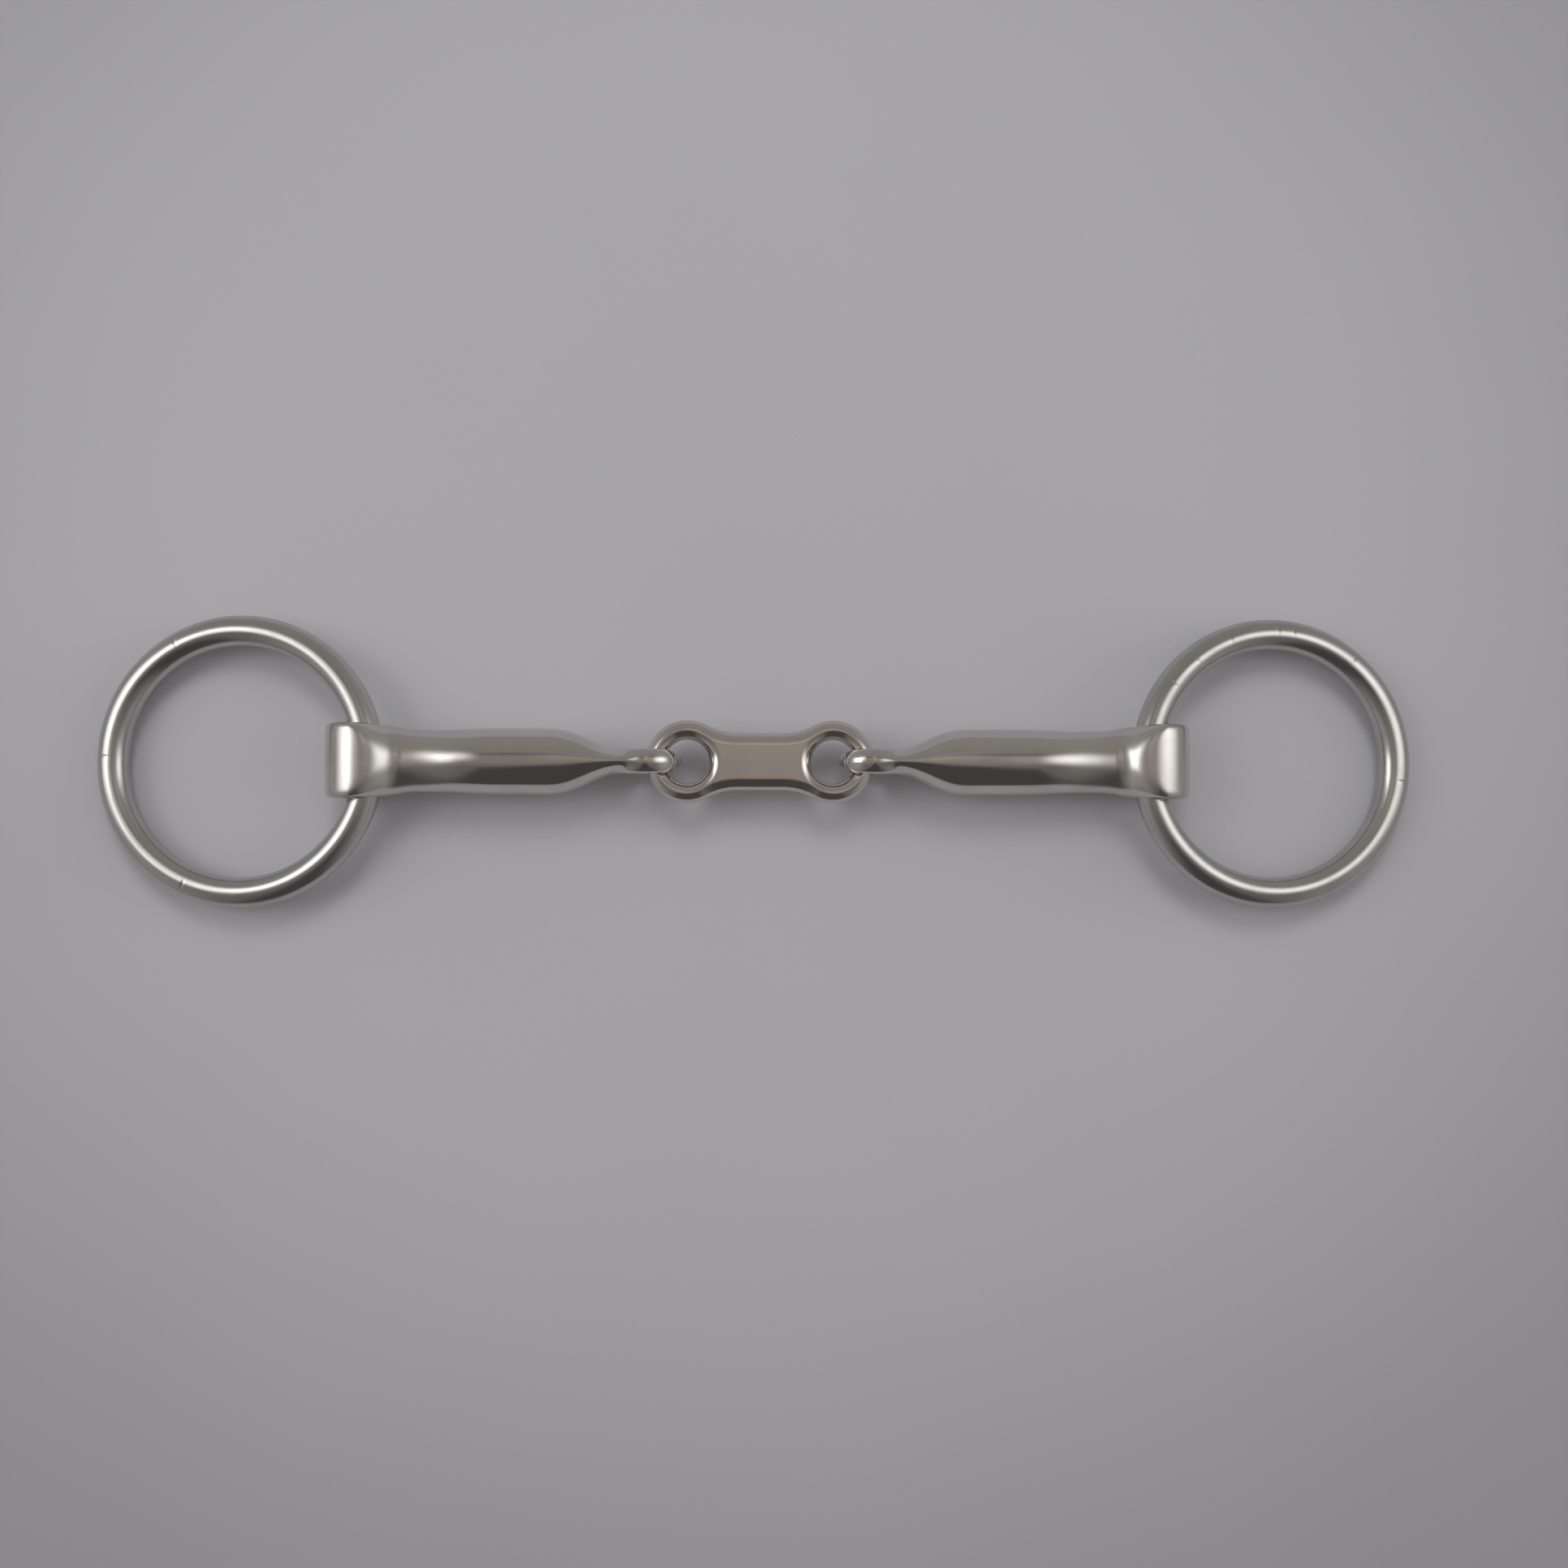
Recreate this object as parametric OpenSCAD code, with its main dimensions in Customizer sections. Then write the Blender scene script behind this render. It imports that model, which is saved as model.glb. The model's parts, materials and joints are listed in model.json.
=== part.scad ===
// Loose-ring snaffle bit with a double-jointed mouthpiece: a flat centre link, two cannons and two rings.
// The origin is at table level under the middle of the link. +X runs along the mouthpiece, +Z is up.
// Each cannon is drawn along its own +X, from its bore axis towards the link, and then put in place.

/* [Mouthpiece] */
// Distance from one ring bore's axis to the other's
bore_span = 147.4; // [140:0.2:170]
// Thickness of the butt, across the mouthpiece
butt_w = 14; // [13:0.5:16]
// Diameter of the round butt that the ring passes through
butt_d = 14.8; // [14:0.2:17]
// Rounding of the butt's two edges
butt_edge = 0.9; // [0.5:0.1:1.4]
// Width of the waist just inboard of the butt
waist_w = 11.7; // [10.5:0.1:12]
// Height of the waist
waist_h = 9.8; // [9.4:0.1:10.4]
// Width of the bulge halfway along the cannon
bulge_w = 12.4; // [12.2:0.1:13]
// Height of the bulge
bulge_h = 12.6; // [12.2:0.1:12.8]
// Width of the flattened neck that carries the eye
neck_w = 4.2; // [3.6:0.1:4.6]

/* [Ring] */
// Outside diameter of each ring
ring_od = 55; // [52:1:60]
// Diameter of the ring's bar
bar_d = 5.7; // [5:0.1:6]
// Diameter of the bore that the ring runs through
bore_d = 7.5; // [7.2:0.1:8]

/* [Centre link] */
// Distance between the link's two holes
hole_pitch = 27.4; // [25:0.2:32]
// Thickness of the link
link_t = 5; // [4.4:0.2:5]
// Outside diameter of the link's round ends
lobe_d = 15.6; // [15:0.2:16]
// Width of the link's waist
link_waist_w = 10.8; // [9:0.2:12]
// Diameter of the link's holes at the throat
throat_d = 8.3; // [8.1:0.1:8.6]

/* [Eye] */
// Outside diameter of the eye at the inner end of each cannon
eye_od = 12.8; // [12.6:0.1:13]
// Diameter of the hole in the eye
eye_hole_d = 7.6; // [7.4:0.1:7.8]
// Width of the eye's bar, across the mouthpiece
eye_w = 4.6; // [4.2:0.1:4.8]

/* [Hidden] */
$fn = 96;

steel = [0.72, 0.70, 0.67];
ring_steel = [0.66, 0.64, 0.62];

axis_z = butt_d / 2;                               // height of the mouthpiece's axis when it lies flat
hole_x = hole_pitch / 2;                           // from the middle to each link hole
cannon_len = bore_span / 2 - hole_x;               // bore axis to link hole axis
eye_set_back = 7.5;                                // link hole's axis to the middle of the eye
eye_x = cannon_len - eye_set_back;                 // bore axis to the middle of the eye
eye_bar_t = (eye_od - eye_hole_d) / 2;             // radial thickness of the eye's bar

// The ring hangs in its bore, and its far side rests on the table.
ring_r = (ring_od - bar_d) / 2;                    // radius of the bar's centre line
bow = ring_r - sqrt(ring_r * ring_r - butt_w * butt_w / 4);
ring_x = ring_r - bow / 2;                         // bore axis to the ring's centre, clearing both ways
ring_tilt = asin((axis_z - bar_d / 2) / (ring_x + ring_r));

// Places along the cannon, from the bore axis
waist_x = 12;
bulge_x = 26;
shoulder_x = 33;
tall_neck_x = 43;                                  // where the neck is as tall as the eye
neck_x = 49;

// The fillet between the round butt and the waist, seen from the side
saddle_r = 5.7;
saddle_lean = acos((waist_h / 2 + saddle_r) / (butt_d / 2 + saddle_r));
saddle_x = (butt_d / 2 + saddle_r) * sin(saddle_lean);

// The loft that makes the cannon's body
stations = 34;
sides = 32;
loft_start = butt_d / 2 * sin(saddle_lean);        // where the fillet leaves the butt
loft_end = eye_x;
butt_inset = 0.5;                                  // how far the loft starts inside the butt's sides
eye_inset = 0.7;                                   // how far it ends inside the eye

// The link's outline: the hollow beside the waist is an arc that meets the lobe smoothly
link_edge = link_t / 2;                            // radius of the rounded edge
mouth_r = 1.7;                                     // radius of the rounding at the hole's mouths
lobe_r = lobe_d / 2;
half_waist = link_waist_w / 2;
straight = 4.2;                                    // half the length of the waist's straight edge
run = hole_x - straight;
hollow_r = (run * run + half_waist * half_waist - lobe_r * lobe_r) / (2 * (lobe_r - half_waist));
hollow_y = half_waist + hollow_r;
touch_angle = atan2(hollow_y, run);                // direction from the hollow's centre to the lobe's
lobe_step = 6;

// Rises smoothly from a at x0 to b at x1.
function blend(a, b, x0, x1, x) =
    let (t = min(1, max(0, (x - x0) / (x1 - x0))))
    a + (b - a) * t * t * (3 - 2 * t);

// Half the cannon's width at x
function half_w(x) =
    x < waist_x ? blend(butt_w / 2 - butt_inset, waist_w / 2, loft_start, waist_x, x)
    : x < shoulder_x ? blend(waist_w / 2, bulge_w / 2, waist_x, bulge_x, x)
    : blend(bulge_w / 2, neck_w / 2, shoulder_x, neck_x, x);

// Half its height at x. The neck is narrow but stays tall, as it becomes the eye.
function half_h(x) =
    x < saddle_x ? waist_h / 2 + saddle_r - sqrt(saddle_r * saddle_r - (saddle_x - x) * (saddle_x - x))
    : x < bulge_x ? blend(waist_h / 2, bulge_h / 2, saddle_x, bulge_x, x)
    : blend(bulge_h / 2, eye_od / 2 - eye_inset, shoulder_x, tall_neck_x, x);

// A closed skin over a row of outlines, each a list of the same number of points
module skin(rings) {
    rows = len(rings);
    n = len(rings[0]);
    walls = [for (i = [0 : rows - 2], j = [0 : n - 1])
        let (k = (j + 1) % n, a = i * n, b = a + n)
        [a + j, b + j, b + k, a + k]];
    first_cap = [for (j = [0 : n - 1]) j];
    last_cap = [for (j = [n - 1 : -1 : 0]) (rows - 1) * n + j];
    polyhedron([for (ring = rings, p = ring) p], concat(walls, [first_cap, last_cap]), convexity = 4);
}

module cannon_body() {
    step = (loft_end - loft_start) / stations;
    skin([for (x = [loft_start : step : loft_end + step / 2])
        [for (j = [0 : sides - 1])
            [x, half_w(x) * cos(360 * j / sides), half_h(x) * sin(360 * j / sides)]]]);
}

// A round drum across the cannon, with rounded edges
module butt() {
    rotate([90, 0, 0])
    rotate_extrude() {
        translate([0, -butt_w / 2])
        square([butt_d / 2 - butt_edge, butt_w]);
        translate([0, butt_edge - butt_w / 2])
        square([butt_d / 2, butt_w - 2 * butt_edge]);
        for (side = [-1, 1])
        translate([butt_d / 2 - butt_edge, side * (butt_w / 2 - butt_edge)])
        circle(butt_edge, $fn = 32);
    }
}

// The bore with a small countersink at each mouth
module bore() {
    mouth = 0.5;
    rotate([90, 0, 0]) {
        cylinder(d = bore_d, h = butt_w + 2, center = true);
        for (side = [0, 1])
        mirror([0, 0, side])
        translate([0, 0, butt_w / 2 - mouth])
        cylinder(d1 = bore_d, d2 = bore_d + 4 * mouth, h = 2 * mouth);
    }
}

// A ring with a bar of rounded section, standing in the plane of the cannon's height
module eye() {
    flat = eye_w - eye_bar_t;
    translate([eye_x, 0, 0])
    rotate([90, 0, 0])
    rotate_extrude()
    translate([(eye_od + eye_hole_d) / 4, 0]) {
        square([eye_bar_t, flat], center = true);
        for (side = [-1, 1])
        translate([0, side * flat / 2])
        circle(d = eye_bar_t, $fn = 48);
    }
}

module cannon() {
    difference() {
        union() {
            butt();
            difference() {
                cannon_body();
                translate([eye_x, 0, 0])
                rotate([90, 0, 0])
                cylinder(d = eye_hole_d + 0.5 * eye_bar_t, h = 2 * eye_w, center = true);
            }
            eye();
        }
        bore();
    }
}

module ring() {
    rotate([0, -ring_tilt, 0])
    translate([-ring_x, 0, 0])
    rotate_extrude()
    translate([ring_r, 0])
    circle(d = bar_d, $fn = 64);
}

// Points along an arc, from angle a to angle b
function arc(centre, r, a, b, steps) =
    [for (i = [0 : steps]) let (angle = a + (b - a) * i / steps) centre + r * [cos(angle), sin(angle)]];
function turned(p, half_turns) = half_turns == 0 ? p : -p;

// The link's outline drawn in by some distance: a round lobe at each end, a hollow beside the waist
function link_outline(inset) = [
    for (half_turns = [0, 1])
    for (p = concat(
        arc([straight, -hollow_y], hollow_r + inset, 90, touch_angle, 5),
        arc([hole_x, 0], lobe_r - inset, touch_angle - 180 + lobe_step, 180 - touch_angle - lobe_step, 20),
        arc([straight, hollow_y], hollow_r + inset, -touch_angle, -90, 5)
    )) turned(p, half_turns)
];

// The link's solid, with its edge rounded all the way over
module link_body() {
    profile = [for (a = [-90 : 15 : 90]) [link_edge * (1 - cos(a)), link_edge * sin(a)]];
    skin([for (p = profile)
        [for (q = link_outline(p[0])) [q[0], q[1], p[1]]]]);
}

// A hole with rounded mouths. The cutter leaves each face at a slant, so that it never just touches it.
module link_hole() {
    slant = 72;
    mouth = arc([throat_d / 2 + mouth_r, link_t / 2 - mouth_r], mouth_r, 180, 180 - slant, 8);
    out = mouth[8] + 4 * [sin(slant), cos(slant)];
    rotate_extrude()
    polygon(concat(
        [[0, -out[1]], [out[0], -out[1]]],
        [for (i = [8 : -1 : 0]) [mouth[i][0], -mouth[i][1]]],
        mouth,
        [out, [0, out[1]]]
    ));
}

module centre_link() {
    difference() {
        link_body();
        for (side = [-1, 1])
        translate([side * hole_x, 0, 0])
        link_hole();
    }
}

module link() {
    color(steel)
    translate([0, 0, axis_z])
    centre_link();
}

module cannon_left() {
    color(steel)
    translate([-bore_span / 2, 0, axis_z])
    cannon();
}

module cannon_right() {
    color(steel)
    mirror([1, 0, 0])
    translate([-bore_span / 2, 0, axis_z])
    cannon();
}

module ring_left() {
    color(ring_steel)
    translate([-bore_span / 2, 0, axis_z])
    ring();
}

module ring_right() {
    color(ring_steel)
    mirror([1, 0, 0])
    translate([-bore_span / 2, 0, axis_z])
    ring();
}

link();
cannon_left();
cannon_right();
ring_left();
ring_right();
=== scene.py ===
"""A loose-ring snaffle bit with a flat centre link: smooth polished-steel meshes around the CAD frame."""
import json
import math

import bpy
import numpy as np
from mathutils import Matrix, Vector


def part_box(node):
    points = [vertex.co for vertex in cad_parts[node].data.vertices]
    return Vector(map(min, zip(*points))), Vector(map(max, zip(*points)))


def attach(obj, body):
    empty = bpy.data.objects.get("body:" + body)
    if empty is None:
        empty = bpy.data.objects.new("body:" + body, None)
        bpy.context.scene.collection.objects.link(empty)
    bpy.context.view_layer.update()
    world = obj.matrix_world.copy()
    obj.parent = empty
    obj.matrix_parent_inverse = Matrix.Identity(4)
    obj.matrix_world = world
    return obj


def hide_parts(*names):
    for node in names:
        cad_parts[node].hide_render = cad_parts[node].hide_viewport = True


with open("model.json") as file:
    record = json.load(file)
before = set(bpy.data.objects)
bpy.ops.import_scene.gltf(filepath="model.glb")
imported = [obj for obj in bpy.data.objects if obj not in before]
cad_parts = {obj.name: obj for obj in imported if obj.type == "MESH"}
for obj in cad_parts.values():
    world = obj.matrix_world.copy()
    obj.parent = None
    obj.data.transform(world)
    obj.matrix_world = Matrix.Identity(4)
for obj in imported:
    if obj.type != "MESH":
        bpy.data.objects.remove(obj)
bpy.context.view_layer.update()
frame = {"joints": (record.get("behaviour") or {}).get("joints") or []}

MM = 0.001                      # the shapes below are worked out in millimetres
IN_MM = 1.0 / MM


# ---------------------------------------------------------------- sizes, from the frame
def joint_place(name):
    """Where a joint's axis passes, in millimetres."""
    joint = next(j for j in frame["joints"] if j["name"] == name)
    return np.array(joint["pos_m"]) * IN_MM


def box_size(node):
    lo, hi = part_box(node)
    return np.array(hi - lo) * IN_MM


AXIS_Z = joint_place("ring_left_swing")[2]              # height of the mouthpiece's axis
BORE_X = joint_place("ring_right_swing")[0]             # from the middle to each ring's bore
HOLE_X = joint_place("cannon_right_fold")[0]            # from the middle to each hole of the link

BUTT_R = box_size("cannon_left")[2] / 2
BUTT_HALF_W = box_size("cannon_left")[1] / 2
EYE_REACH = box_size("cannon_left")[0] - BUTT_R         # bore axis to the tip of the eye
LINK_HALF_T = box_size("link")[2] / 2
LOBE_R = box_size("link")[1] / 2

RING_OD = box_size("ring_left")[1]
BAR_R = 2.85                                            # radius of the ring's bar
BOX_GAP = 0.004                                         # how far a ring's skin stays inside the part's box
RING_R = RING_OD / 2 - BAR_R - BOX_GAP                  # radius of the bar's centre line
RING_BOW = RING_R - math.sqrt(RING_R ** 2 - BUTT_HALF_W ** 2)
RING_X = RING_R - RING_BOW / 2                          # bore axis to the ring's centre
RING_TILT = math.asin((AXIS_Z - BAR_R) / (RING_X + RING_R))


# ---------------------------------------------------------------- smooth solids as fields
# A field is a function of points, negative inside a solid, and about the distance to its surface near it.
def blend(a, b, x0, x1, x):
    """Rises smoothly from a at x0 to b at x1."""
    t = np.clip((x - x0) / (x1 - x0), 0.0, 1.0)
    return a + (b - a) * t * t * t * (t * (6 * t - 15) + 10)


def soft_min(a, b, k):
    """The union of two fields, with a fillet that begins where they are within k of each other."""
    h = np.maximum(k - np.abs(a - b), 0.0) / k
    return np.minimum(a, b) - h * h * h * k / 6


def soft_max(a, b, k):
    """What two fields share, with its edge softened in the same way."""
    return -soft_min(-a, -b, k)


def round_max(a, b, r):
    """What two fields share, with its edge rounded to radius r."""
    corner = np.hypot(np.maximum(a + r, 0), np.maximum(b + r, 0))
    return np.minimum(np.maximum(a, b), -r) + corner


def ellipse(y, z, ry, rz):
    """About the distance from an ellipse with half-axes ry and rz."""
    k0 = np.hypot(y / ry, z / rz)
    k1 = np.hypot(y / ry ** 2, z / rz ** 2)
    return k0 * (k0 - 1) / np.maximum(k1, 1e-9)


# A cannon's body, from the bore's axis along +X. Widths are seen from above, heights from the side, and
# both are halves.
WAIST_W, WAIST_H = 5.82, 4.85
BULGE_W, BULGE_H = 6.2, 6.3
NECK_W, NECK_H = 2.12, 6.0
WIDE_BUTT_END = 0.4             # the width falls from here
WAIST_START, WAIST_END = 10.5, 12
WIDE_START, WIDE_END = 26, 33   # the bulge's full width
SLIM_NECK = 50.5                # where the width is down to the neck's
TALL_START, TALL_END = 23, 28   # the bulge's full height
TALL_NECK = 46                  # where the height is the neck's
SADDLE_R = 5.7                  # radius of the fillet between the butt and the waist, from the side
SHOULDER_SHIFT = (0.0, 0.9)     # the right shoulder was ground a little nearer the link
DRUM_END = 4                    # where the drum's round side has become the body's top and underside
BUTT_SQUARENESS = 12            # what squares the butt's section, added to an oval's exponent of 2
SQUARE_END = -1.5               # where that starts to fade
SQUARE_FADE = 1.9               # how slowly it fades
WAIST_SIZE = 5.5                # about half the section's size at the waist
OVAL_START, OVAL_END = 8, 18    # where the section turns into a plain oval

EYE_R = 6.4                     # outside radius of the eye
EYE_BAR = 1.3                   # half the radial thickness of its bar
EYE_HALF_W = 2.3                # half the width of its bar
EYE_TIP_W = 1.75                # the same at the tip, where it was drawn thinner
EYE_HOLE_EDGE = 0.5             # softening of the edge of its hole
EYE_FILLET = 1.4                # between the neck and the eye
NECK_END_EDGE = 1.0             # softening of the neck's hidden end
SEAM_ANGLE = math.radians(32)   # where the eye was closed, from the tip upwards
SEAM_DEPTH = 0.09
SEAM_WIDTH = 0.22
BORE_R = 3.75
BORE_EDGE = 0.7                 # rounding of the bore's mouths


def half_height(x):
    """The drum runs down a fillet into the waist, which rises to the bulge and then falls to the neck."""
    lean = math.acos((WAIST_H + SADDLE_R) / (BUTT_R + SADDLE_R))
    fillet_start, fillet_end = BUTT_R * math.sin(lean), (BUTT_R + SADDLE_R) * math.sin(lean)
    drum = np.sqrt(np.maximum(BUTT_R ** 2 - x ** 2, 0.01))
    fillet = WAIST_H + SADDLE_R - np.sqrt(np.maximum(SADDLE_R ** 2 - (x - fillet_end) ** 2, 0))
    rise = blend(WAIST_H, BULGE_H, fillet_end, TALL_START, x)
    fall = blend(BULGE_H, NECK_H, TALL_END, TALL_NECK, x)
    return np.select([x < fillet_start, x < fillet_end, x < TALL_END], [drum, fillet, rise], fall)


def half_width(x, hand):
    to_waist = blend(BUTT_HALF_W, WAIST_W, WIDE_BUTT_END, WAIST_START, x)
    to_bulge = blend(to_waist, BULGE_W, WAIST_END, WIDE_START, x)
    shift = SHOULDER_SHIFT[hand]
    to_neck = blend(BULGE_W, NECK_W, WIDE_END + shift, SLIM_NECK + shift / 2, x)
    return np.where(x < WIDE_END, to_bulge, to_neck)


def cannon_field(p, hand):
    """Half of the mouthpiece, along +X from the bore's axis. hand is 0 for the left one, 1 for the right."""
    x, y, z = p[:, 0], p[:, 1], p[:, 2]
    from_bore = np.hypot(x, z)
    half_w, half_h = half_width(x, hand), half_height(x)

    # The butt is round about the bore to begin with, and is then drawn out to the body's height.
    drawn = blend(0, 1, 0, DRUM_END, x)
    reach = (1 - drawn) * from_bore / BUTT_R + drawn * np.abs(z) / half_h
    squareness = 2 + BUTT_SQUARENESS * np.exp(-np.maximum(x - SQUARE_END, 0) / SQUARE_FADE)
    butt = (reach ** squareness + (np.abs(y) / half_w) ** squareness) ** (1 / squareness)
    butt = (butt - 1) * blend(BUTT_R, WAIST_SIZE, 0, OVAL_START, x)
    oval = blend(0, 1, OVAL_START, OVAL_END, x)
    body = (1 - oval) * butt + oval * ellipse(y, z, half_w, half_h)
    eye_x = EYE_REACH - EYE_R
    body = soft_max(body, x - eye_x, NECK_END_EDGE)

    eye_centre = EYE_R - EYE_BAR
    from_eye = np.hypot(x - eye_x, z)
    to_tip = np.clip((x - eye_x) / np.maximum(from_eye, 1e-6), 0, 1)
    eye_half_w = EYE_HALF_W + (EYE_TIP_W - EYE_HALF_W) * to_tip ** 3
    seam_side = z * math.cos(SEAM_ANGLE) - (x - eye_x) * math.sin(SEAM_ANGLE)
    seam = SEAM_DEPTH * np.exp(-(seam_side / SEAM_WIDTH) ** 2) * (x > eye_x)
    eye = ellipse(from_eye - eye_centre, y, EYE_BAR, eye_half_w) + seam
    solid = soft_min(body, eye, EYE_FILLET)

    hollow = np.sqrt(np.maximum(1 - (y / EYE_HALF_W) ** 2, 0.0))
    eye_hole = (eye_centre - EYE_BAR * hollow) - from_eye
    solid = soft_max(solid, eye_hole, EYE_HOLE_EDGE)
    return round_max(solid, BORE_R - from_bore, BORE_EDGE)


LINK_WAIST = 5.4                # half the width of the link's waist
LINK_STRAIGHT = 4.2             # half the length of the waist's straight edge
LINK_EDGE = 2.4                 # radius of the rounded edge
THROAT_R = 4.15                 # radius of the link's holes at the throat
MOUTH_R = 2.2                   # rounding of the holes' mouths


def outline_distance(x, y):
    """Distance outside the link's outline: a round lobe at each end and a hollow beside the waist."""
    x, y = np.abs(x), np.abs(y)
    run = HOLE_X - LINK_STRAIGHT
    hollow_r = (run ** 2 + LINK_WAIST ** 2 - LOBE_R ** 2) / (2 * (LOBE_R - LINK_WAIST))
    hollow_y = LINK_WAIST + hollow_r
    lobe = np.hypot(x - HOLE_X, y) - LOBE_R
    hollow = hollow_r - np.hypot(x - LINK_STRAIGHT, y - hollow_y)
    beyond = (x - LINK_STRAIGHT) * -hollow_y - (y - hollow_y) * run
    out = np.where(beyond > 0, hollow, lobe)
    return np.where(x < LINK_STRAIGHT, y - LINK_WAIST, out)


def link_field(p):
    x, y, z = p[:, 0], p[:, 1], p[:, 2]
    faces = np.abs(z) - LINK_HALF_T
    slab = round_max(outline_distance(x, y), faces, LINK_EDGE)
    from_hole = np.hypot(np.abs(x) - HOLE_X, y)
    return round_max(slab, THROAT_R - from_hole, MOUTH_R)


# ---------------------------------------------------------------- from a field to a mesh
def gradient(field, p, step=0.004):
    g = np.empty_like(p)
    for axis in range(3):
        d = np.zeros(3)
        d[axis] = step
        g[:, axis] = (field(p + d) - field(p - d)) / (2 * step)
    return g


def settle(field, p, rounds=5, reach=0.2):
    """Moves points onto the field's surface."""
    for _ in range(rounds):
        g = gradient(field, p)
        move = field(p)[:, None] * g / np.maximum((g * g).sum(1, keepdims=True), 1e-6)
        length = np.linalg.norm(move, axis=1, keepdims=True)
        p = p - move * np.minimum(1, reach / np.maximum(length, 1e-12))
    return p


def surface_net(field, lo, hi, cell, margin=2.5):
    """Points and quads where the field changes sign on a grid, which reaches margin cells past lo and hi."""
    extra = int(2 * margin) + 1
    axes = [a - margin * cell + cell * np.arange(math.ceil((b - a) / cell) + extra) for a, b in zip(lo, hi)]
    shape = tuple(len(a) for a in axes)
    values = np.empty(shape)
    yz = np.stack(np.meshgrid(axes[1], axes[2], indexing="ij"), -1).reshape(-1, 2)
    for i, x in enumerate(axes[0]):
        layer = np.column_stack([np.full(len(yz), x), yz])
        values[i] = field(layer).reshape(shape[1:])
    total = np.zeros(tuple(n - 1 for n in shape) + (3,))
    count = np.zeros(total.shape[:3])
    crossings = []
    for axis in range(3):
        head = [slice(None)] * 3
        tail = [slice(None)] * 3
        head[axis], tail[axis] = slice(0, -1), slice(1, None)
        a, b = values[tuple(head)], values[tuple(tail)]
        at = np.argwhere((a < 0) != (b < 0))
        fa, fb = a[tuple(at.T)], b[tuple(at.T)]
        place = at.astype(float)
        place[:, axis] += fa / (fa - fb)
        u, v = [k for k in range(3) if k != axis]
        corners = []
        for du, dv in ((0, 0), (-1, 0), (-1, -1), (0, -1)):
            cell_at = at.copy()
            cell_at[:, u] += du
            cell_at[:, v] += dv
            np.add.at(total, tuple(cell_at.T), place)
            np.add.at(count, tuple(cell_at.T), 1)
            corners.append(cell_at)
        crossings.append((corners, fa < 0, axis))
    used = np.argwhere(count > 0)
    number = np.full(count.shape, -1)
    number[tuple(used.T)] = np.arange(len(used))
    mean = total[tuple(used.T)] / count[tuple(used.T)][:, None]
    points = np.array([a[0] for a in axes]) + mean * cell
    quads = []
    for corners, starts_inside, axis in crossings:
        q = np.stack([number[tuple(c.T)] for c in corners], 1)
        flip = starts_inside if axis == 1 else ~starts_inside
        q[flip] = q[flip][:, ::-1]
        quads.append(q)
    return points, np.concatenate(quads)


def even_out(points, quads, field, rounds=4, slide=0.6):
    """Slides the points along the surface towards the middle of their neighbours, to even out the quads."""
    ends = np.concatenate([quads[:, [i, (i + 1) % 4]] for i in range(4)])
    for _ in range(rounds):
        near = np.zeros_like(points)
        n = np.zeros(len(points))
        np.add.at(near, ends[:, 0], points[ends[:, 1]])
        np.add.at(near, ends[:, 1], points[ends[:, 0]])
        np.add.at(n, ends[:, 0], 1)
        np.add.at(n, ends[:, 1], 1)
        points = settle(field, points + slide * (near / n[:, None] - points), 2)
    return settle(field, points, 3)


def build_mesh(name, points, quads, normals):
    """A smooth mesh in metres. Its shading normals are the ones given with the points, so reflections run
    true.
    """
    mesh = bpy.data.meshes.new(name)
    mesh.vertices.add(len(points))
    mesh.vertices.foreach_set("co", (points * MM).astype(np.float32).ravel())
    mesh.loops.add(quads.size)
    mesh.loops.foreach_set("vertex_index", quads.astype(np.int32).ravel())
    mesh.polygons.add(len(quads))
    mesh.polygons.foreach_set("loop_start", np.arange(0, quads.size, 4, dtype=np.int32))
    mesh.polygons.foreach_set("use_smooth", np.ones(len(quads), bool))
    mesh.update(calc_edges=True)
    mesh.validate()
    mesh.normals_split_custom_set_from_vertices(normals.astype(np.float32))
    piece = bpy.data.objects.new(name, mesh)
    bpy.context.scene.collection.objects.link(piece)
    return piece


def solid_piece(name, field, lo, hi, cell, place, mirrored=False):
    points, quads = surface_net(field, lo, hi, cell)
    points = even_out(settle(field, points), quads, field)
    normals = gradient(field, points)
    normals /= np.linalg.norm(normals, axis=1, keepdims=True)
    if mirrored:
        points[:, 0] *= -1
        normals[:, 0] *= -1
        quads = quads[:, ::-1]
    return build_mesh(name, points + place, quads, normals)


CELL = 0.24      # size of a quad
LINK_CELL = 0.85 * CELL


def make_cannon(name, hand):
    lo = (-BUTT_R, -BUTT_HALF_W, -BUTT_R)
    hi = (EYE_REACH, BUTT_HALF_W, BUTT_R)
    side = (-1, 1)[hand]
    return solid_piece(name, lambda p: cannon_field(p, hand), lo, hi, CELL,
                       np.array([side * BORE_X, 0, AXIS_Z]), mirrored=hand == 1)


def make_link():
    hi = np.array([HOLE_X + LOBE_R, LOBE_R, LINK_HALF_T])
    return solid_piece("centre_link", link_field, -hi, hi, LINK_CELL, np.array([0, 0, AXIS_Z]))


NICKS = {                       # places round each ring, in degrees, where a knock left a small dent
    -1: (118, 178, 247),
    1: (352, 52, 82, 89, 111, 129, 144),
}
NICK_UP = 78                    # how far up round the bar they are, from its outer side
NICK_DEPTH = 0.07
NICK_ALONG = 0.28
NICK_ACROSS = 0.8


def past(angles, degrees):
    """How far angles are past a direction, in radians, the shorter way round."""
    return np.mod(angles - math.radians(degrees) + math.pi, 2 * math.pi) - math.pi


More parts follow.
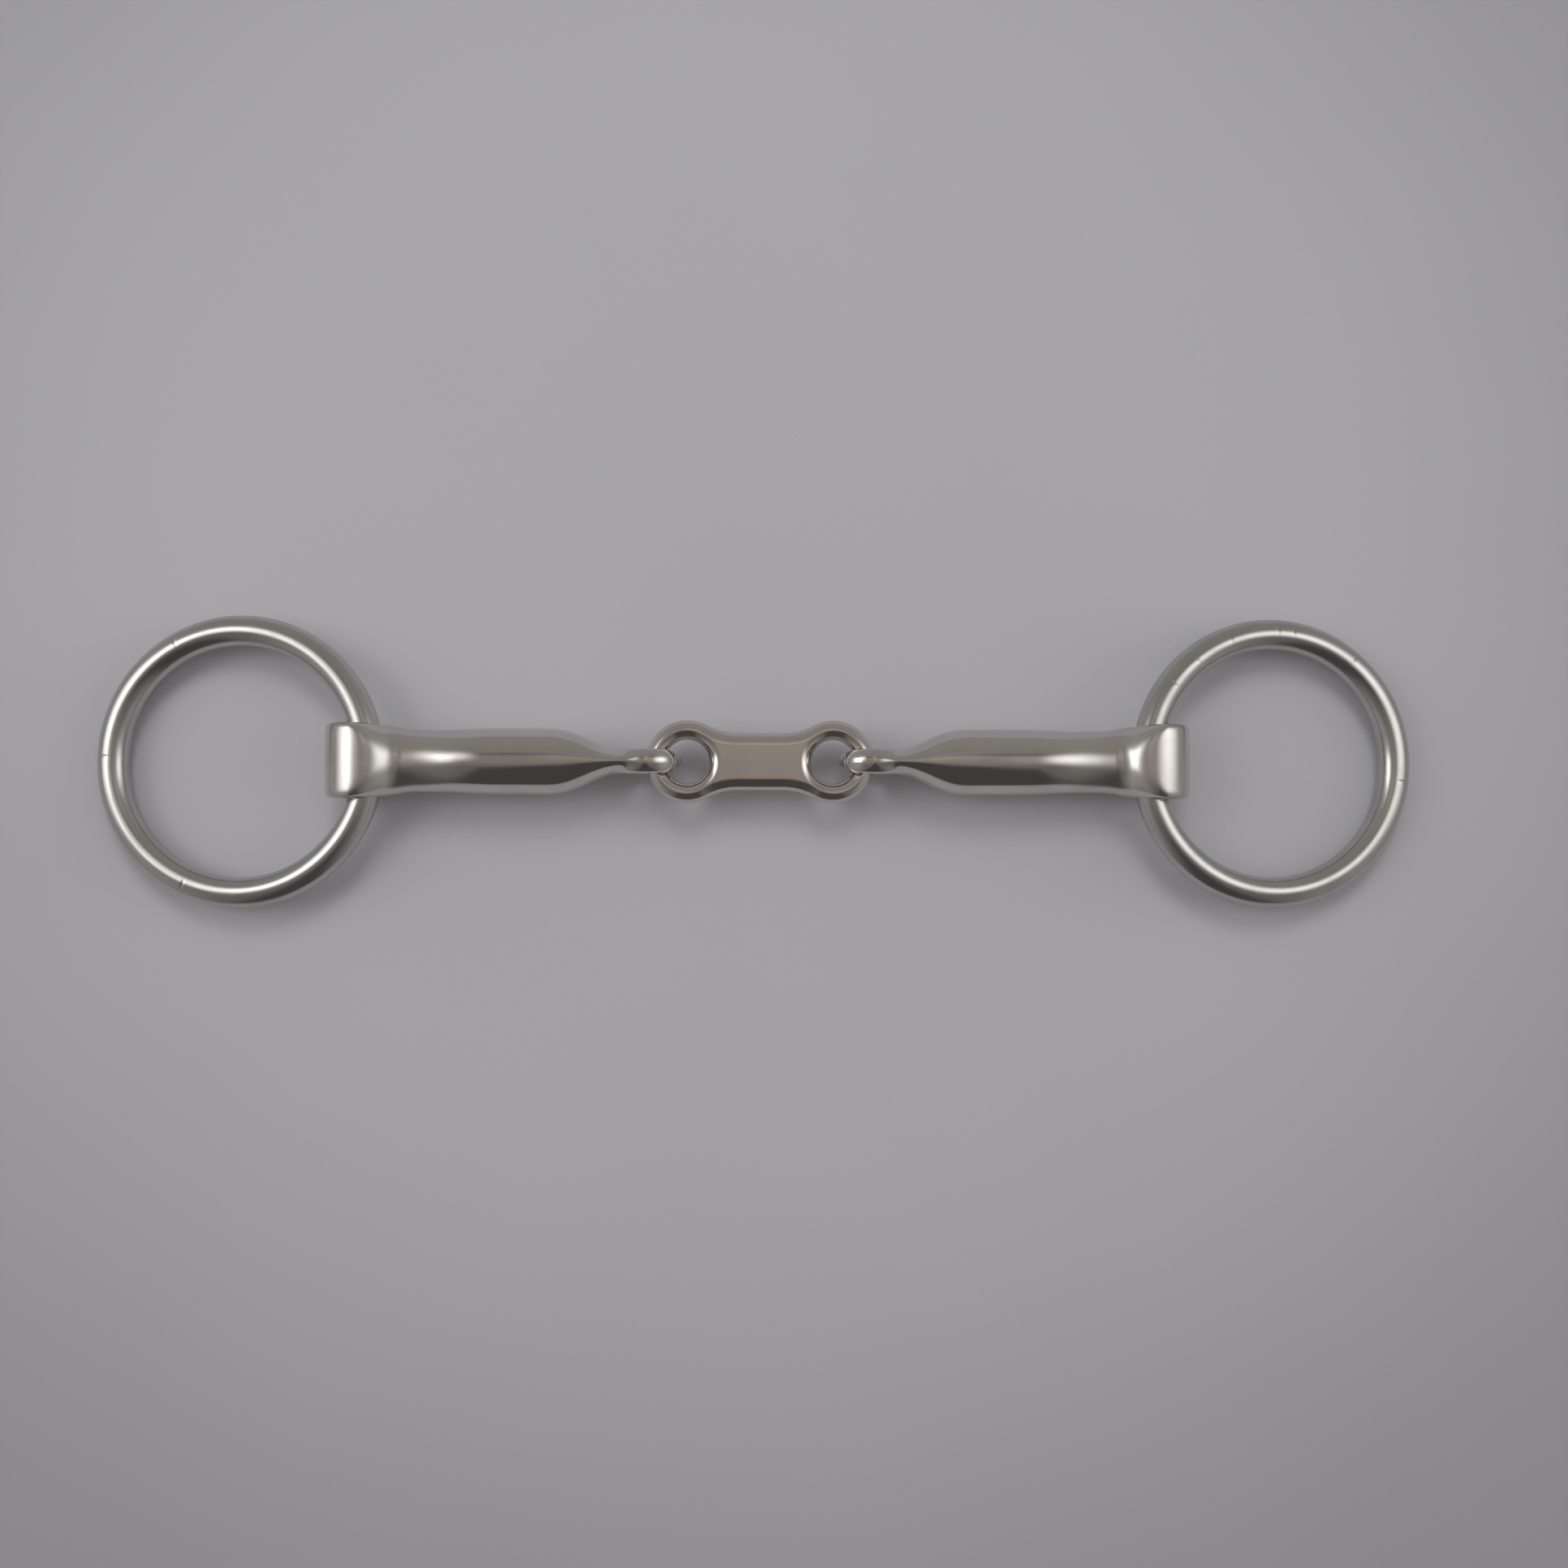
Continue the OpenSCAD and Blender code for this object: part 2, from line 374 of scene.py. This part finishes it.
def make_ring(name, side):
    """A torus hung in its bore, with its far edge on the table. side is -1 for left and 1 for right."""
    along, around = ((1000, 90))
    t = np.arange(along) * 2 * math.pi / along
    s = np.arange(around) * 2 * math.pi / around
    t, s = [a.ravel() for a in np.meshgrid(t, s, indexing="ij")]
    out = np.column_stack([np.cos(t), np.sin(t), np.zeros_like(t)])
    ahead = np.column_stack([-np.sin(t), np.cos(t), np.zeros_like(t)])
    up = np.array([0, 0, 1])
    from_bar = out * np.cos(s)[:, None] + up * np.sin(s)[:, None]
    normals = from_bar.copy()
    bar = np.full(len(t), BAR_R)
    for degrees in NICKS[side]:
        u, v = past(t, degrees) * RING_R, past(s, NICK_UP) * BAR_R
        dent = NICK_DEPTH * np.exp(-(u / NICK_ALONG) ** 2 - (v / NICK_ACROSS) ** 2)
        bar -= dent
        normals += ahead * (-2 * u / NICK_ALONG ** 2 * dent)[:, None]
    normals /= np.linalg.norm(normals, axis=1, keepdims=True)
    points = out * RING_R + from_bar * bar[:, None]
    i, j = [a.ravel() for a in np.meshgrid(np.arange(along), np.arange(around), indexing="ij")]
    i1, j1 = (i + 1) % along, (j + 1) % around
    quads = np.column_stack([i * around + j, i1 * around + j, i1 * around + j1, i * around + j1])
    points[:, 0] += side * RING_X
    c, k = math.cos(RING_TILT), side * math.sin(RING_TILT)
    tilt = np.array([[c, 0, k], [0, 1, 0], [-k, 0, c]])
    points, normals = points @ tilt.T, normals @ tilt.T
    return build_mesh(name, points + np.array([side * BORE_X, 0, AXIS_Z]), quads, normals)


# ---------------------------------------------------------------- materials
class Nodes:
    """A small helper that builds a node tree, one line a node. Each input is a value or another's socket."""

    def __init__(self, tree):
        self.tree = tree
        self.tree.nodes.clear()

    def put(self, value, socket):
        if isinstance(value, bpy.types.NodeSocket):
            self.tree.links.new(value, socket)
        elif value is not None:
            socket.default_value = value

    def add(self, kind, out=0, inputs=(), named=None, **settings):
        node = self.tree.nodes.new(kind)
        for key, value in settings.items():
            setattr(node, key, value)
        for i, value in enumerate(inputs):
            self.put(value, node.inputs[i])
        for key, value in (named or {}).items():
            self.put(value, node.inputs[key])
        return node.outputs[out] if node.outputs else node

    def math(self, operation, *values):
        return self.add("ShaderNodeMath", inputs=values, operation=operation)

    def ramp(self, value, x0, x1, a=0.0, b=1.0):
        """Rises smoothly from a at x0 to b at x1."""
        return self.add("ShaderNodeMapRange", inputs=(value, x0, x1, a, b), interpolation_type="SMOOTHSTEP")

    def mix(self, t, a, b):
        return self.add("ShaderNodeMix", out=2, named={0: t, 6: a, 7: b}, data_type="RGBA")

    def noise(self, place, scale, detail=2.0, stretch=(1, 1, 1)):
        at = self.add("ShaderNodeMapping", inputs=(place, None, None, stretch))
        return self.add("ShaderNodeTexNoise", named={"Vector": at, "Scale": scale, "Detail": detail})


def new_material(name):
    mat = bpy.data.materials.new(name)
    mat.use_nodes = True
    return mat, Nodes(mat.node_tree)


BUTT_START, BUTT_END = 0.050, 0.062     # from the middle of the bit, where a cannon's polish gets rougher
PIT_AT = (0.0706, 0.0027, 0.01415)      # a small pit in the top of the right butt
PIT_FLOOR, PIT_RIM = 0.00006, 0.0002    # radii
PIT_DEPTH = 60e-6
WAVE_HEIGHT = 8e-6
MARK_HEIGHT = 0.5e-6
WORN = 0.93                             # how much darker the steel is in its cloudy patches


def steel(name, colour, polish, grain, butt_polish=None):
    """Polished stainless steel. polish is its roughness, and grain stretches the polishing marks.
    butt_polish is the roughness by the rings, for a cannon, which also has one small pit there."""
    mat, n = new_material(name)
    place = n.add("ShaderNodeTexCoord", out=3)
    clouds = n.noise(place, 160, 3.0)
    smears = n.noise(place, 700, 4.0, stretch=grain)
    marks = n.noise(place, 5200, 3.0, stretch=grain)
    waves = n.noise(place, 110, 1.0)

    tint = n.mix(n.ramp(clouds, 0.35, 0.7), (*colour, 1), (*[c * WORN for c in colour], 1))
    dull = n.ramp(smears, 0.5, 0.75, 0.0, 0.05)
    haze = n.ramp(clouds, 0.45, 0.75, 0.0, 0.04)
    rough = n.math("ADD", dull, haze)
    height = n.math("ADD", n.math("MULTIPLY", waves, WAVE_HEIGHT), n.math("MULTIPLY", marks, MARK_HEIGHT))
    if butt_polish is None:
        rough = n.math("ADD", rough, polish)
    else:
        along = n.math("ABSOLUTE", n.add("ShaderNodeSeparateXYZ", out=0, inputs=(place,)))
        rough = n.math("ADD", rough, n.ramp(along, BUTT_START, BUTT_END, polish, butt_polish))
        from_pit = n.add("ShaderNodeVectorMath", out=1, inputs=(place, PIT_AT), operation="DISTANCE")
        height = n.math("ADD", height, n.ramp(from_pit, PIT_FLOOR, PIT_RIM, -PIT_DEPTH, 0.0))
    bump = n.add("ShaderNodeBump", named={"Strength": 1.0, "Distance": 1.0, "Height": height})
    surface = n.add("ShaderNodeBsdfPrincipled", named={
        "Metallic": 1.0, "Base Color": tint, "Roughness": rough, "Normal": bump})
    n.add("ShaderNodeOutputMaterial", inputs=(surface,))
    return mat


def table_top():
    """A pale satin laminate, with painted shade: its colour darkens away from where the light is strongest.
    """
    mat, n = new_material("table_top")
    place = n.add("ShaderNodeNewGeometry", out=0)
    brightest = (0, 0.03, 0)
    from_light = n.add("ShaderNodeVectorMath", out=1, inputs=(place, brightest), operation="DISTANCE")
    # painted shade: the table's colour falls to 0.72 of itself away from the brightest spot
    painted_falloff = n.ramp(from_light, 0.10, 0.24, 1.0, 0.72)
    cloud = n.ramp(n.noise(place, 14, 2.0), 0.3, 0.7, 0.985, 1.0)
    grit = n.ramp(n.noise(place, 1500, 2.0), 0.2, 0.8, 0.985, 1.0)
    shade = n.math("MULTIPLY", n.math("MULTIPLY", painted_falloff, cloud), grit)
    colour = n.mix(shade, (0, 0, 0, 1), (0.71, 0.723, 0.775, 1))
    surface = n.add("ShaderNodeBsdfPrincipled", named={"Base Color": colour, "Roughness": 0.75})
    n.add("ShaderNodeOutputMaterial", inputs=(surface,))
    return mat


ALONG_BAR = (0.08, 1, 1)
ALL_ROUND = (1, 1, 1)
link_steel = steel("link_steel", (0.68, 0.645, 0.61), 0.07, ALONG_BAR)
cannon_steel = steel("cannon_steel", (0.67, 0.655, 0.625), 0.07, ALONG_BAR, 0.22)
ring_steel = steel("ring_steel", (0.58, 0.57, 0.55), 0.20, ALL_ROUND)

for piece, body, node, slot, material in (
    (make_link(), "link", "link", "link_steel", link_steel),
    (make_cannon("left_cannon", 0), "cannon_left", "cannon_left", "cannon_steel", cannon_steel),
    (make_cannon("right_cannon", 1), "cannon_right", "cannon_right", "cannon_steel", cannon_steel),
    (make_ring("left_ring", -1), "ring_left", "ring_left", "ring_steel", ring_steel),
    (make_ring("right_ring", 1), "ring_right", "ring_right", "ring_steel", ring_steel),
):
    piece.data.materials.append(material)
    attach(piece, body)
    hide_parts(node)


# ---------------------------------------------------------------- table, light and camera
def make_table():
    half = 3.0
    corners = [(-half, -half, 0), (half, -half, 0), (half, half, 0), (-half, half, 0)]
    mesh = bpy.data.meshes.new("table")
    mesh.from_pydata(corners, [], [(0, 1, 2, 3)])
    table = bpy.data.objects.new("table", mesh)
    bpy.context.scene.collection.objects.link(table)
    mesh.materials.append(table_top())


def soft_box(name, place, target, size, radiance, colour, fade, mirrored):
    """A rectangular lamp whose light fades towards its edges. fade is how much of each side fades, as a
    fraction: left, right, bottom, top. A mirrored lamp shows only in the steel, and any other lights
    only the table."""
    data = bpy.data.lights.new(name, "AREA")
    data.shape = "RECTANGLE"
    data.size, data.size_y = size
    data.energy = 4 * size[0] * size[1] * radiance      # the renderer divides by four times the area
    data.color = colour
    data.use_nodes = True
    n = Nodes(data.node_tree)
    across = n.add("ShaderNodeNewGeometry", out=5)
    u = n.add("ShaderNodeSeparateXYZ", out=0, inputs=(across,))
    v = n.add("ShaderNodeSeparateXYZ", out=1, inputs=(across,))
    strength = n.math("MULTIPLY", n.ramp(u, 0, fade[0]), n.ramp(u, 1, 1 - fade[1]))
    strength = n.math("MULTIPLY", strength, n.ramp(v, 0, fade[2]))
    strength = n.math("MULTIPLY", strength, n.ramp(v, 1, 1 - fade[3]))
    glow = n.add("ShaderNodeEmission", inputs=(None, strength))
    n.add("ShaderNodeOutputLight", inputs=(glow,))
    lamp = bpy.data.objects.new(name, data)
    lamp.location = place
    lamp.rotation_mode = "QUATERNION"
    lamp.rotation_quaternion = (Vector(target) - Vector(place)).to_track_quat("-Z", "Y")
    lamp.visible_camera = False
    lamp.visible_glossy = mirrored
    lamp.visible_diffuse = not mirrored
    bpy.context.scene.collection.objects.link(lamp)


def toward(east, north, distance):
    """A place this far from the middle of the table, east and north of overhead by these degrees."""
    e, k = math.radians(east), math.radians(north)
    return Vector((math.sin(e) * math.cos(k), math.sin(k), math.cos(e) * math.cos(k))) * distance


def room():
    """The room around the table: warm grey walls to the north and overhead, and darker to the south."""
    overhead, north_wall, end_walls = (0.28, 0.25, 0.23, 1), (0.30, 0.285, 0.265, 1), (0.36, 0.34, 0.34, 1)
    low_down = (0.30, 0.29, 0.29, 1)
    beam = (0.16, 0.145, 0.135, 1)              # a darker band where the north wall meets the ceiling
    due_south, beside_south = (0.072, 0.068, 0.068, 1), (0.17, 0.16, 0.154, 1)

    world = bpy.data.worlds.new("room")
    world.use_nodes = True
    n = Nodes(world.node_tree)
    direction = n.add("ShaderNodeTexCoord", out=0)
    east, north, up = [n.add("ShaderNodeSeparateXYZ", out=axis, inputs=(direction,)) for axis in range(3)]
    sideways = n.math("ABSOLUTE", east)

    wall = n.mix(n.ramp(up, 0.95, 0.35), overhead, north_wall)
    wall = n.mix(n.ramp(sideways, 0.45, 0.95), wall, end_walls)
    wall = n.mix(n.ramp(up, 0.32, 0.0), wall, low_down)
    tilt = n.math("ARCTAN2", north, up)
    in_beam = n.math("MULTIPLY", n.ramp(tilt, 0.26, 0.40), n.ramp(tilt, 0.56, 0.42))
    wall = n.mix(n.math("MULTIPLY", in_beam, 0.8), wall, beam)
    southward = n.math("MULTIPLY", n.ramp(north, -0.05, -0.4), n.ramp(sideways, 0.8, 0.38))
    aside = n.math("DIVIDE", sideways, n.math("MAXIMUM", n.math("ABSOLUTE", north), 0.05))
    wall = n.mix(southward, wall, n.mix(n.ramp(aside, 0.28, 0.58), due_south, beside_south))
    back = n.add("ShaderNodeBackground", inputs=(wall, 1.0))
    n.add("ShaderNodeOutputWorld", inputs=(back,))
    bpy.context.scene.world = world


make_table()
room()
MIDDLE = (0, 0, 0)
WHITE, WARM = (1.0, 1.0, 1.0), (1.0, 0.98, 0.96)
FILLS = (                       # name, place, size, radiance, colour, fade
    ("left_fill", toward(-56, 10, 1.0), (0.64, 0.9), 1.3, WARM, (0.2, 0.2, 0.7, 0.08)),
    ("left_spot", toward(-22, 14, 1.0), (0.5, 0.5), 0.6, WHITE, (0.5, 0.5, 0.45, 0.45)),
    ("right_spot", toward(23, 14, 0.9), (0.5, 0.5), 0.6, WHITE, (0.5, 0.5, 0.45, 0.45)),
    ("right_fill", toward(62, 2, 1.3), (1.0, 1.9), 1.3, WARM, (0.4, 0.4, 0.3, 0.9)),
    ("north_fill", toward(0, 38, 1.2), (0.5, 0.5), 3.4, WHITE, (0.2, 0.2, 0.2, 0.2)),
)
REFLECTIONS = (                 # name, place, target, size, radiance, fade
    ("left_window", (-0.335, 0.05, 0.22), (0, 0.05, 0), (0.25, 0.36), 1.4, (0.35, 0.35, 0.6, 0.25)),
    ("left_glow", (-0.205, 0.09, 0.285), (0, 0.09, 0), (0.26, 0.24), 0.75, (0.5, 0.5, 0.45, 0.5)),
    ("middle_glow", (0.01, 0.10, 0.33), (0.01, 0.06, 0), (0.22, 0.28), 0.16, (0.5, 0.5, 0.5, 0.5)),
    ("right_window", (0.265, 0.05, 0.25), (0, 0.05, 0), (0.30, 0.5), 1.1, (0.5, 0.5, 0.5, 0.5)),
)
for name, place, size, radiance, colour, fade in FILLS:
    soft_box(name, place, MIDDLE, size, radiance, colour, fade, mirrored=False)
for name, place, target, size, radiance, fade in REFLECTIONS:
    soft_box(name, place, target, size, radiance, WHITE, fade, mirrored=True)

camera_data = bpy.data.cameras.new("camera")
camera_data.sensor_width = 36
camera_data.lens = 35.33
camera = bpy.data.objects.new("camera", camera_data)
bpy.context.scene.collection.objects.link(camera)
camera.rotation_mode = "XYZ"
camera.location = (-0.0024, -0.0114, 0.2968)
camera.rotation_euler = [math.radians(a) for a in (1.431, -1.367, 0.057)]
bpy.context.scene.camera = camera
bpy.context.scene.view_settings.view_transform = "Standard"
